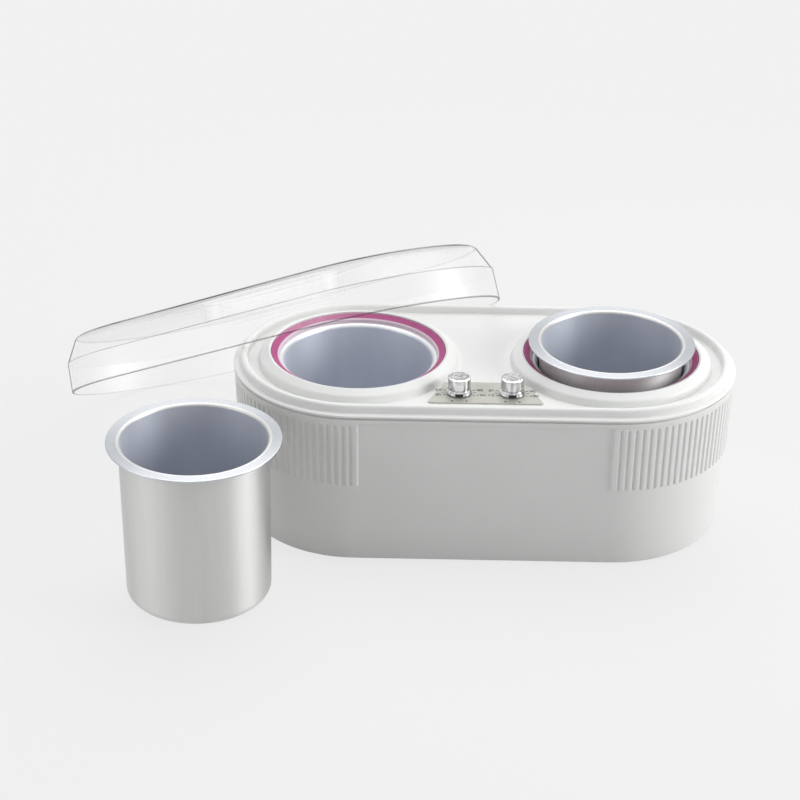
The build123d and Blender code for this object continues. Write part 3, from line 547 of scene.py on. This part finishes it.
def pinkRing(name):
    # Translucent pink moulding: a deep slope, a slightly paler crest, and a pale thin edge at the mouth, which is
    # painted highlight
    look = Look(name)
    parts = look.split()
    radius = ((abs(parts["X"]) - spine * mm) ** 2 + parts["Y"] ** 2) ** 0.5
    crest = look.spread(parts["Z"], pink["crestFrom"] * mm, pink["crestTo"] * mm)
    # Painted highlight: pale on the mouth's inner wall and edge
    mouth = 1 - look.spread(radius, *((well["ringMouth"] + pink[key]) * mm for key in ("mouthFrom", "mouthTo")))
    clouds = look.spread(look.noise(pink["cloud"], 4, 0.6), 0.3, 0.7)
    slope = look.blend(clouds, pink["deep"], pink["slope"])
    tone = look.blend(mouth, look.blend(crest, slope, pink["crest"]), pink["mouth"])
    return look.finish(tone, pink["rough"] + clouds * pink["cloudRough"], specular=0.3, coatWeight=0.08,
                       coatRoughness=0.2, subsurfaceWeight=0.15, subsurfaceRadius=(0.006, 0.002, 0.003),
                       normal=look.bump(look.noise(pink["grain"], 2), pink["grainDepth"], 0.4))


def wellLines(size):
    # Half sections of the ring and of the well's cup
    mouth, foot, deckTop, flangeTop = pick(size, "ringMouth ringFoot deckTop flangeTop")
    radius, outer, flange, floor, under = pick(size, "radius outer flange floor under")
    ring = roundedLine([
        (size["ringOuter"], deckTop), (size["ringOuter"], size["ringTop"], 0.6),
        (mouth, size["ringTop"] - size["ringDrop"], 0.7), (mouth, flangeTop), (foot, flangeTop),
        (foot, deckTop)], step=12)
    cup = roundedLine([
        (0, under), (outer, under, 7), (outer, deckTop, 0.4), (flange, deckTop, 0.4), (flange, flangeTop, 0.4),
        (radius, flangeTop, 2.4), (radius, floor, 5), (0, floor)], step=8)
    return ring, cup


finishes["ring"] = pinkRing("ringPink")
ringLine, cupLine = wellLines(well)
for side, x in (("left", -spine), ("right", spine)):
    makePiece(f"{side}RingMoulding", [turned(ringLine, (x, 0), 192)], finishes["ring"], [f"{side}_well_ring"])
    middle = well["radius"] + well["skin"]
    metal = drawnAluminium(f"{side}WellAluminium", well["tones"], well["rough"], (x, 0), {
        "low": middle, "high": middle, "floor": well["floor"] - well["skin"], "top": well["flangeTop"],
        "bend": 6.0, "matt": 0.6, "gloss": 0.0})
    makePiece(f"{side}WellCup", [turned(cupLine, (x, 0), 192)], metal, [f"{side}_heating_well"])
print("wells made")

# Pots
# tones: outside, inside, brim; inside and brim are painted shade, in the cup and against the overhead lamp
pot = {
    "height": 100.0, "flange": 50.2, "radius": 43.3, "taper": 1.1, "wall": 1.2, "corner": 6.0, "mouthRound": 1.6,
    "rightAt": (spine, 0.0, 15.0), "frontAt": (-165.9, -105.2, 0.0),
    "skin": 0.6, "tones": ((0.62, 0.62, 0.61), (0.58, 0.61, 0.68), (0.55, 0.57, 0.60)), "rough": 0.48,
}


def potLine(size, z):
    # Half section of a drawn pot with a flat flange and a well-rounded mouth
    radius, wall, flange, corner = pick(size, "radius wall flange corner")
    foot, top = radius - size["taper"], z + size["height"]
    return roundedLine([
        (0, z), (foot, z, corner), (radius, top - wall, 1.0), (flange, top - wall, 0.4), (flange, top, 0.5),
        (radius - wall, top, size["mouthRound"]), (foot - wall, z + wall, corner - wall), (0, z + wall)], step=8)


for name in ("right", "front"):
    x, y, z = pot[f"{name}At"]
    middle = pot["radius"] - pot["skin"]
    metal = drawnAluminium(f"{name}PotAluminium", pot["tones"], pot["rough"], (x, y), {
        "low": middle - pot["taper"], "high": middle, "floor": z + pot["skin"], "top": z + pot["height"],
        "bend": pot["corner"] - pot["skin"], "matt": 0.75, "gloss": 0.26})
    makePiece(f"{name}DrawnPot", [turned(potLine(pot, z), (x, y), 216)], metal, [f"{name}_pot"],
              body=f"{name}_pot")
print("pots made")

# Dial plate and its marks
dial = {
    "bottom": 100.4, "top": 101.2, "back": -31.0, "front": -58.0, "backHalf": 23.6, "frontHalf": 34.5,
    "corner": 1.5, "bevel": 0.25, "knobX": 15.6, "knobY": -44.8, "textSize": 3.645, "bold": 0.09, "ink": 0.04,
    "sunk": 0.01, "tones": ((0.44, 0.44, 0.40), (0.49, 0.49, 0.445)), "rough": 0.36, "brushRough": 0.12,
    "digits": (("40", -12.4, -3.2), ("60", -12.2, 3.2), ("80", 12.4, 3.2), ("100", 12.9, -3.2)),
    "ticks": (200, 180, 162, 18, 0, -20), "tickFrom": 8.4, "tickTo": 10.2, "tickWide": 0.65,
    "dots": (-4.2, 4.2), "dotY": -10.9, "dot": 0.7,
}


def plateSurfaces(size):
    # The trapezium's rounded outline, stacked: underside, edge, a small bevel, and the flat top
    back, front, bottom, top = pick(size, "back front bottom top")
    corners = ((-size["backHalf"], back), (-size["frontHalf"], front), (size["frontHalf"], front),
               (size["backHalf"], back))
    outline = roundedLine([(*corner, size["corner"]) for corner in corners])
    middle = np.array([0, (back + front) / 2])
    rows = [(0.0, bottom), (1.0, bottom), (1.0, top - size["bevel"]), (0.992, top), (0.985, top), (0.0, top)]
    share, height = np.array(rows).T[:, :, None]
    flat = middle + (outline - middle) * share[..., None]
    return [surface(np.concatenate([flat, (height + 0 * flat[..., 0])[..., None]], -1))]


def inkStrip(centre, angle, size):
    # A printed bar: a thin box that runs outwards from start to stop at an angle
    start, stop, width, top, sunk, depth = pick(size, "tickFrom tickTo tickWide top sunk ink")
    base = top - sunk
    way = np.array([math.cos(angle), math.sin(angle)])
    side = np.array([-way[1], way[0]]) * width / 2
    flat = np.array([centre + way * start - side, centre + way * stop - side,
                     centre + way * stop + side, centre + way * start + side])
    middle = flat.mean(0)[None].repeat(4, 0)
    layers = ((middle, base), (flat, base), (flat, base + depth), (middle, base + depth))
    return surface(np.stack([np.column_stack([spot, np.full(4, z)]) for spot, z in layers]))


def dialPlateFinish():
    # Brushed and printed plate: fine lines across, slightly greenish grey
    look = Look("dialMetal")
    brush = look.noise(0.35, 3, 0.6, look.place(stretch=(0.05, 1, 1)))
    clouds = look.spread(look.noise(7, 4, 0.6), 0.3, 0.7)
    return look.finish(look.blend(clouds, *dial["tones"]), dial["rough"] + brush * dial["brushRough"],
                       metallic=0.25, normal=look.bump(brush, 0.012, 0.5))


finishes["dial"] = dialPlateFinish()
makePiece("dialTrapezium", plateSurfaces(dial), finishes["dial"], ["dial_plate"], sharp=25)
print("dial plate made")


def printedDigits(digits, middle, size):
    # Triangles of a word in the built-in face, laid flat with its middle there
    text = bpy.data.curves.new("digits", "FONT")
    text.body, text.size, text.offset = digits, size["textSize"], size["bold"]
    text.align_x, text.align_y, text.extrude, text.resolution_u = "CENTER", "CENTER", size["ink"] / 2, 3
    holder = bpy.data.objects.new("digits", text)
    drawn = bpy.data.meshes.new_from_object(holder)
    bpy.data.objects.remove(holder)
    spots = np.zeros(len(drawn.vertices) * 3)
    drawn.vertices.foreach_get("co", spots)
    drawn.calc_loop_triangles()
    corners = np.zeros(len(drawn.loop_triangles) * 3, np.int32)
    drawn.loop_triangles.foreach_get("vertices", corners)
    corners = corners.reshape(-1, 3)
    return spots.reshape(-1, 3) + middle, np.column_stack([corners, corners[:, 2]])


marks = []
top, sunk, ink, dot, apart, knobY = pick(dial, "top sunk ink dot knobX knobY")
dotLine = np.array([(0, top - sunk), (dot, top - sunk), (dot, top + ink), (0, top + ink)])
for knobX in (-apart, apart):
    for angle in dial["ticks"]:
        marks.append(inkStrip(np.array([knobX, knobY]), math.radians(angle), dial))
    for dotX in dial["dots"]:
        marks.append(turned(dotLine, (knobX + dotX, knobY + dial["dotY"]), 20))
    for digits, digitX, digitY in dial["digits"]:
        marks.append(printedDigits(digits, (knobX + digitX, knobY + digitY, top + ink / 2), dial))
makePiece("dialMarks", marks, finishes["ink"], [], sharp=25, weighted=False)
print("dial marks made")

# Knobs
knob = {
    "base": 101.6, "top": 111.8, "skirt": 7.65, "skirtEdge": 1.0, "waist": 6.2, "grip": 6.8, "cup": 5.75,
    "cupTop": 104.0, "step": 1.1, "bevel": 1.1, "cap": 2.0, "shaft": 3.0, "slack": 0.02,
    "notchHalf": 2.2, "notchLow": 0.25, "notchHigh": 1.85, "notchDepth": 1.1, "notchColumns": 15, "columns": 110,
    "ink": {"half": 2.3, "in": 5.8, "low": 0.2, "high": 1.9},
}


def knobSurfaces(size, x, y):
    # A turned chrome line. Inside the notch's window at the front, points are held back to a flat wall
    base, top, skirt, grip, cup, cupTop = pick(size, "base top skirt grip cup cupTop")
    low, high, slack = base + size["notchLow"], base + size["notchHigh"], size["slack"]
    edge, neck, under = base + size["skirtEdge"], cupTop + 0.2, top - size["cap"]
    slope = lambda z: skirt - (skirt - size["waist"]) * (z - edge) / (neck - edge)
    line = roundedLine([
        (cup, base), (skirt, base, 0.2), (skirt, low - slack), (skirt, low + slack), (skirt, edge, 0.35),
        (slope(high - slack), high - slack), (slope(high + slack), high + slack), (size["waist"], neck, 0.5),
        (grip, cupTop + size["step"], 0.5), (grip, top - 0.3, 0.35), (grip - size["bevel"], top, 0.7), (0, top),
        (0, under), (size["shaft"], under), (size["shaft"], cupTop), (cup, cupTop)], step=8)
    wide = math.degrees(math.asin(size["notchHalf"] / skirt))
    past = wide + 0.3
    angles = np.concatenate([np.linspace(-90 - wide, -90 + wide, size["notchColumns"]),
                             np.linspace(-90 + past, 270 - past, size["columns"])])
    points, faces = turned(line, angles=np.radians(angles))
    inWindow = ((np.abs(points[:, 0]) < size["notchHalf"] + 0.01) & (points[:, 1] < 0)
                & (points[:, 2] > low) & (points[:, 2] < high))
    held = np.maximum(points[:, 1], size["notchDepth"] - skirt)
    points[:, 1] = np.where(inWindow, held, points[:, 1])
    return [(points + (x, y, 0), faces)]


base = knob["base"]
half, deep, low, high = pick(knob["ink"], "half in low high")
for side, x in (("left", -apart), ("right", apart)):
    inNotch = lambda middle, x=x: ((np.abs(middle[:, 0] - x) < half) & (middle[:, 1] < knobY - deep)
                                   & (middle[:, 2] > base + low) & (middle[:, 2] < base + high))
    makePiece(f"{side}ChromeKnob", knobSurfaces(knob, x, knobY), [finishes["chrome"], finishes["ink"]],
              [f"{side}_knob"], body=f"{side}_knob", sharp=40, darkPart=inNotch)
print("knobs made")

# Feet and cord gland
foot = {"x": 95.0, "y": 38.0, "radius": 7.0, "flare": 0.8, "peg": 3.0, "stand": 0.8, "top": 3.3}
radius, peg, stand, top = pick(foot, "radius peg stand top")
footLine = roundedLine([(0, 0), (radius - foot["flare"], 0, 0.4), (radius, stand), (peg, stand), (peg, top),
                        (0, top)])
feetSurfaces = [turned(footLine, (x, y), 48) for x in (-foot["x"], foot["x"]) for y in (-foot["y"], foot["y"])]
makePiece("rubberFoot", feetSurfaces, finishes["rubber"], ["rubber_feet"])

gland = {"bore": 3.6, "flange": 8.5, "thick": 3.0, "barrel": 6.5, "inner": 61.16}
bore, flange, thick, barrel, inner = pick(gland, "bore flange thick barrel inner")
face = housing["padFace"]
glandLine = roundedLine([(bore, face + thick, 0.6), (flange, face + thick, 1.5), (flange, face), (barrel, face),
                         (barrel, inner), (bore, inner)])
points, faces = turned(glandLine, columns=64)
makePiece("cordGland", [(laidBack(points, 0), faces)], finishes["dark"], ["cord_gland"])
print("feet and gland made")

# Lid
lid = {
    "place": (-128.6, 71.0, 71.818), "turn": -21.5, "climb": 24.0927, "tip": 22.4,
    "radius": 75.4, "skirt": 19.0, "draft": 0.6, "shoulder": 66.6, "crown": 34.9, "top": 39.1, "wall": 2.0,
    "leafTip": 94.0, "leafHalf": 24.0, "leafRise": 0.4, "leafStep": 0.35,
    "gripHalf": 33.0, "grip": 17.0, "gripLip": 1.2, "floor": 26.1, "island": 5.5, "core": 3.0, "dome": 440.0,
    "border": 36, "endColumns": 73, "sideColumns": 61,
}


def lidSurface(size):
    # Rows of oblongs from the island's middle line out over the grip, the flat leaf, the dome and the skirt, and
    # back along the inside. Height on the dome is the turned profile's at the distance from the long spine
    feet, looks = oblongWay(np.linspace(-90, 90, size["endColumns"])[:-1],
                            np.linspace(spine, -spine, size["sideColumns"]))
    wall, top, radius, shoulder, crown = pick(size, "wall top radius shoulder crown")
    gripHalf, grip, floor, core, skirt = pick(size, "gripHalf grip floor core skirt")
    leafTop, gripLip, under, low = top + size["leafRise"], grip + size["gripLip"], grip + wall, floor - wall
    skirtRadius, half = radius - size["draft"], shoulder / 2

    def ring(halfLength, radius):
        return np.stack([feet / spine * halfLength + radius * np.cos(looks), radius * np.sin(looks)], -1)

    def at(flat, height):
        return np.column_stack([flat, height + 0 * flat[:, 0]])

    def rings(halfLength, line):
        return [at(ring(halfLength, radius), height) for radius, height in line]

    def draped(first, last, parts, line):
        # Rows on the dome, on their way from one outline to the other
        flats = [first + (last - first) * part for part in parts]
        away = [np.hypot(np.maximum(np.abs(flat[:, 0]) - spine, 0), flat[:, 1]) for flat in flats]
        return [at(flat, np.interp(distance, *line.T)) for flat, distance in zip(flats, away)]

    def leaf(grow):
        # Two arcs of one circle meet at the tips
        tip, side = size["leafTip"] + grow, size["leafHalf"] + grow
        bow = (tip ** 2 + side ** 2) / (2 * side)
        across = np.sqrt(bow ** 2 - (alongLeaf * tip) ** 2) - (bow - side)
        return np.stack([alongLeaf * tip, np.sign(np.round(np.sin(looks), 9)) * across], -1)

    outer = roundedLine([
        (radius - wall, 0), (radius, 0, 0.4), (skirtRadius, skirt, 1.5), (shoulder, crown, 5),
        (half, top, size["dome"]), (0, top)], closed=False, step=5)
    inner = roundedLine([
        (0, top - wall), (half, top - wall, size["dome"]), (shoulder - wall, crown - wall, 3),
        (skirtRadius - wall, skirt, 0.75), (radius - wall, 0)], closed=False, step=5)
    island = roundedLine([
        (0, leafTop), (size["island"], leafTop, 1.2), (size["island"], floor, 1.6), (grip, floor, 2.4),
        (grip, leafTop, 1.0), (gripLip, leafTop)], closed=False, step=12)
    post = roundedLine([(under, low + 3), (under, low, 3), (core, low, 1), (core, top - wall, 1), (0, top - wall)],
                       closed=False, step=12)
    lip, border = ring(gripHalf, gripLip), ring(spine, size["border"])
    alongLeaf = border[:, 0] / (spine + size["border"])
    edge, foot = leaf(0), leaf(size["leafStep"])
    body, inside = (line[line[:, 0] > size["border"]][::-1] for line in (outer, inner))
    return np.stack([
        *rings(gripHalf, island),
        *(at(lip + (edge - lip) * part, leafTop) for part in np.linspace(0, 1, 7)[1:]),
        *draped(foot, border, np.linspace(0, 1, 9)[:-1], outer[::-1]), *rings(spine, body),
        *rings(spine, inside[1:]), *draped(border, ring(gripHalf, under), np.linspace(0, 1, 7), inner),
        *rings(gripHalf, post)])


def lidAxes(size):
    # Own axes of the lid, as rows: along its length, across it, and out of its crown
    turn, climb, tip = map(math.radians, pick(size, "turn climb tip"))
    along = np.array([math.cos(turn) * math.cos(climb), math.sin(turn) * math.cos(climb), math.sin(climb)])
    level = np.array([-math.sin(turn), math.cos(turn), 0])
    out = np.cross(along, level) * math.cos(tip) + level * math.sin(tip)
    return np.array([along, np.cross(out, along), out])


# The dark tone and the line and edge-on settings paint shade on the lid's outer face
clear = {
    "veil": 0.045, "grazing": 0.25, "pale": (0.98, 0.98, 0.975), "dark": (0.08, 0.08, 0.09), "darkFull": 0.15,
    "crown": {"drop": 0.6, "wide": 0.65, "dark": 1.2}, "crease": {"wide": 0.5, "dark": 0.5},
    "foot": {"from": 0.3, "to": 1.2, "dark": 0.7}, "skirtMiddle": 1.2, "behind": 0.85, "darkness": 0.8,
    "silhouette": (0.84, 0.93), "wallDark": 0.6, "domeDark": 0.2, "patch": 45, "cloud": 60, "rough": 0.44,
    "cloudRough": 0.06,
}


def clearPlastic(size):
    # Thin clear moulding: a faint mirror, stronger where it is seen along itself. Painted shade darkens its outer
    # face in thin lines: at the crown's bend, the skirt's crease, the foot, and where it is seen along itself.
    # That face is told by the lid's own axes: height out of its crown, and distance away from its spine
    look = Look("lidClear")
    parts = look.split(look.add("Mapping", {
        "Vector": look.add("TexCoord")["Object"], "Location": [value * mm for value in size["place"]],
        "Rotation": Matrix(lidAxes(size).T.tolist()).to_euler(), "Scale": (mm, mm, mm)}, vector_type="TEXTURE"))
    height = parts["Z"]
    away = ((abs(parts["X"]) - spine).most(0) ** 2 + parts["Y"] ** 2) ** 0.5

    def line(middle, wide, dark):
        return (1 - look.spread(abs(height - middle), wide * 0.35, wide)) * dark

    radius, skirt, shoulder, crown, top, dome = pick(size, "radius skirt shoulder crown top dome")
    skirtRadius, halfWall, half = radius - size["draft"], size["wall"] / 2, shoulder / 2
    wallMiddle = skirtRadius - halfWall - (height - skirt) * ((skirtRadius - shoulder) / (crown - skirt))
    onWall = away > wallMiddle.least(radius - clear["skirtMiddle"])
    flat = half - dome * math.tan(math.atan2(top - crown, half) / 2)
    onDome = height > top - halfWall - (away - flat).most(0) ** 2 / (2 * dome)
    outerFace = onWall.most(onDome) * (1 - look.add("NewGeometry")["Backfacing"] * clear["behind"])
    patchy = look.spread(look.noise(clear["patch"], 3, 0.6), 0.35, 0.65)
    bend, foot = clear["crown"], clear["foot"]
    # Painted shade: dark lines at the crown's bend, the skirt's crease and the foot, broken up in patches
    paintedBendShade = line(crown - bend["drop"], bend["wide"], bend["dark"]) + line(skirt, **clear["crease"])
    edges = paintedBendShade * (0.5 + patchy * 0.5) + (1 - look.spread(height, foot["from"], foot["to"])) * foot["dark"]
    along = look.add("LayerWeight", {"Blend": 0.5})["Facing"]
    # Painted shade: the face turns dark where it is seen along itself, more so on the dome
    overSkirt = look.spread(height, skirt - 1, skirt + 1)
    sidePaintedShade = clear["wallDark"] + overSkirt * clear["domeDark"] * (1 + patchy)
    rim = look.spread(along, *clear["silhouette"]) * sidePaintedShade
    dark = edges.most(rim) * outerFace
    cloud = look.spread(look.noise(clear["cloud"], 2, 0.5), 0.4, 0.6)
    alpha = clear["veil"] * (0.6 + cloud * 0.8) + (along ** 4) * clear["grazing"] + dark * clear["darkness"]
    tone = look.blend(look.spread(dark, 0.0, clear["darkFull"]), clear["pale"], clear["dark"])
    return look.finish(tone, clear["rough"] + cloud * clear["cloudRough"], alpha=alpha, metallic=1.0,
                       normal=look.bump(look.noise(26, 2), 0.02, 0.3))


points, faces = surface(lidSurface(lid))
makePiece("clearLid", [(lid["place"] + points @ lidAxes(lid), faces)], clearPlastic(lid), ["lid"],
          body="lid", sharp=50)
print("lid made")

# Stage: floor, world, lamps and camera
stage = {
    "floor": 12.0, "tone": 0.879, "kept": 0.17, "shadowReach": (0.35, 0.8), "bounce": 0.67,
    "ambient": 0.31, "tint": (0.97, 0.985, 1),
}


def stageFloor():
    # The camera sees a plain pale floor that keeps a share of its shadow near the object. It throws less light
    # back than so pale a floor would, which leaves the shaded side its shade
    look = Look("stageFloor")
    direct = look.seenDirectly()
    felt = look.blend(direct, (stage["bounce"],) * 3, (stage["tone"],) * 3)
    paint = look.add("BsdfDiffuse", {"Color": felt})
    plain = look.add("Emission", {"Color": (stage["tone"],) * 3 + (1,)})
    away = look.add("VectorMath", {0: look.place()}, operation="LENGTH")["Value"]
    near = 1 - look.spread(away, *stage["shadowReach"])
    mixed = look.add("MixShader", {0: direct * (1 - near * stage["kept"]), 1: paint, 2: plain})
    look.add("OutputMaterial", {"Surface": mixed})
    return look.owner


floorMesh = bpy.data.meshes.new("floor")
floorMesh.from_pydata(stage["floor"] / 2 * np.array([(-1, -1, 0), (1, -1, 0), (1, 1, 0), (-1, 1, 0)]), [],
                      [(0, 1, 2, 3)])
floorMesh.materials.append(stageFloor())
floor = bpy.data.objects.new("floor", floorMesh)
scene.collection.objects.link(floor)

# The room looks as pale as the floor, but lights the object only faintly
scene.world = bpy.data.worlds.new("room")
room = Look("room", owner=scene.world)
ambient = room.add("Background", {"Color": (*stage["tint"], 1), "Strength": stage["ambient"]})
plain = room.add("Background", {"Color": (1, 1, 1, 1), "Strength": stage["tone"]})
room.add("OutputWorld", {"Surface": room.add("MixShader", {0: room.seenDirectly(), 1: ambient, 2: plain})})


def posed(holder, place, axes):
    # Puts a lamp or the camera at its place, turned so that its own axes are these columns
    holder.matrix_world = Matrix.Translation(place) @ Matrix(axes.tolist()).to_4x4()
    scene.collection.objects.link(holder)


lamps = {  # place, the spot it shines at, width, power
    "overhead": ((0.1, 0.9, 2.0), (0, 0, 0), 2.6, 35),
    "keyRight": ((1.66, -0.3, 0.66), (0, 0, 0.05), 1.1, 19.5),
    "softLeft": ((-1.6, -0.7, 0.36), (0, 0, 0.05), 1.4, 7),
}
for name, (place, spot, width, power) in lamps.items():
    light = bpy.data.lights.new(name, "AREA")
    light.shape, light.size, light.energy = "DISK", width, power
    holder = bpy.data.objects.new(name, light)
    away = unit(np.array(place) - np.array(spot))
    side = unit(np.cross((0, 1, 0), away))
    posed(holder, place, np.column_stack([side, np.cross(away, side), away]))

view = {"at": (-0.03469, -1.2138, 0.6975), "lens": 100.2, "pitch": 0.4755, "yaw": -0.0134, "roll": 0.0115}
camera = bpy.data.cameras.new("view")
camera.lens, camera.sensor_width = view["lens"], 36
camera.clip_start, camera.clip_end = 0.05, 40
eye = bpy.data.objects.new("view", camera)
pitch, yaw, roll = pick(view, "pitch yaw roll")
ahead = np.array([math.sin(yaw) * math.cos(pitch), math.cos(yaw) * math.cos(pitch), -math.sin(pitch)])
right = np.array([math.cos(yaw), -math.sin(yaw), 0])
upward = np.cross(right, ahead)
posed(eye, view["at"], np.column_stack([math.cos(roll) * right + math.sin(roll) * upward,
                                        math.cos(roll) * upward - math.sin(roll) * right, -ahead]))
scene.camera = eye
scene.view_settings.view_transform = "Standard"
scene.cycles.transparent_max_bounces = 24  # a look through the lid's grip crosses more than eight clear faces
print("stage made")
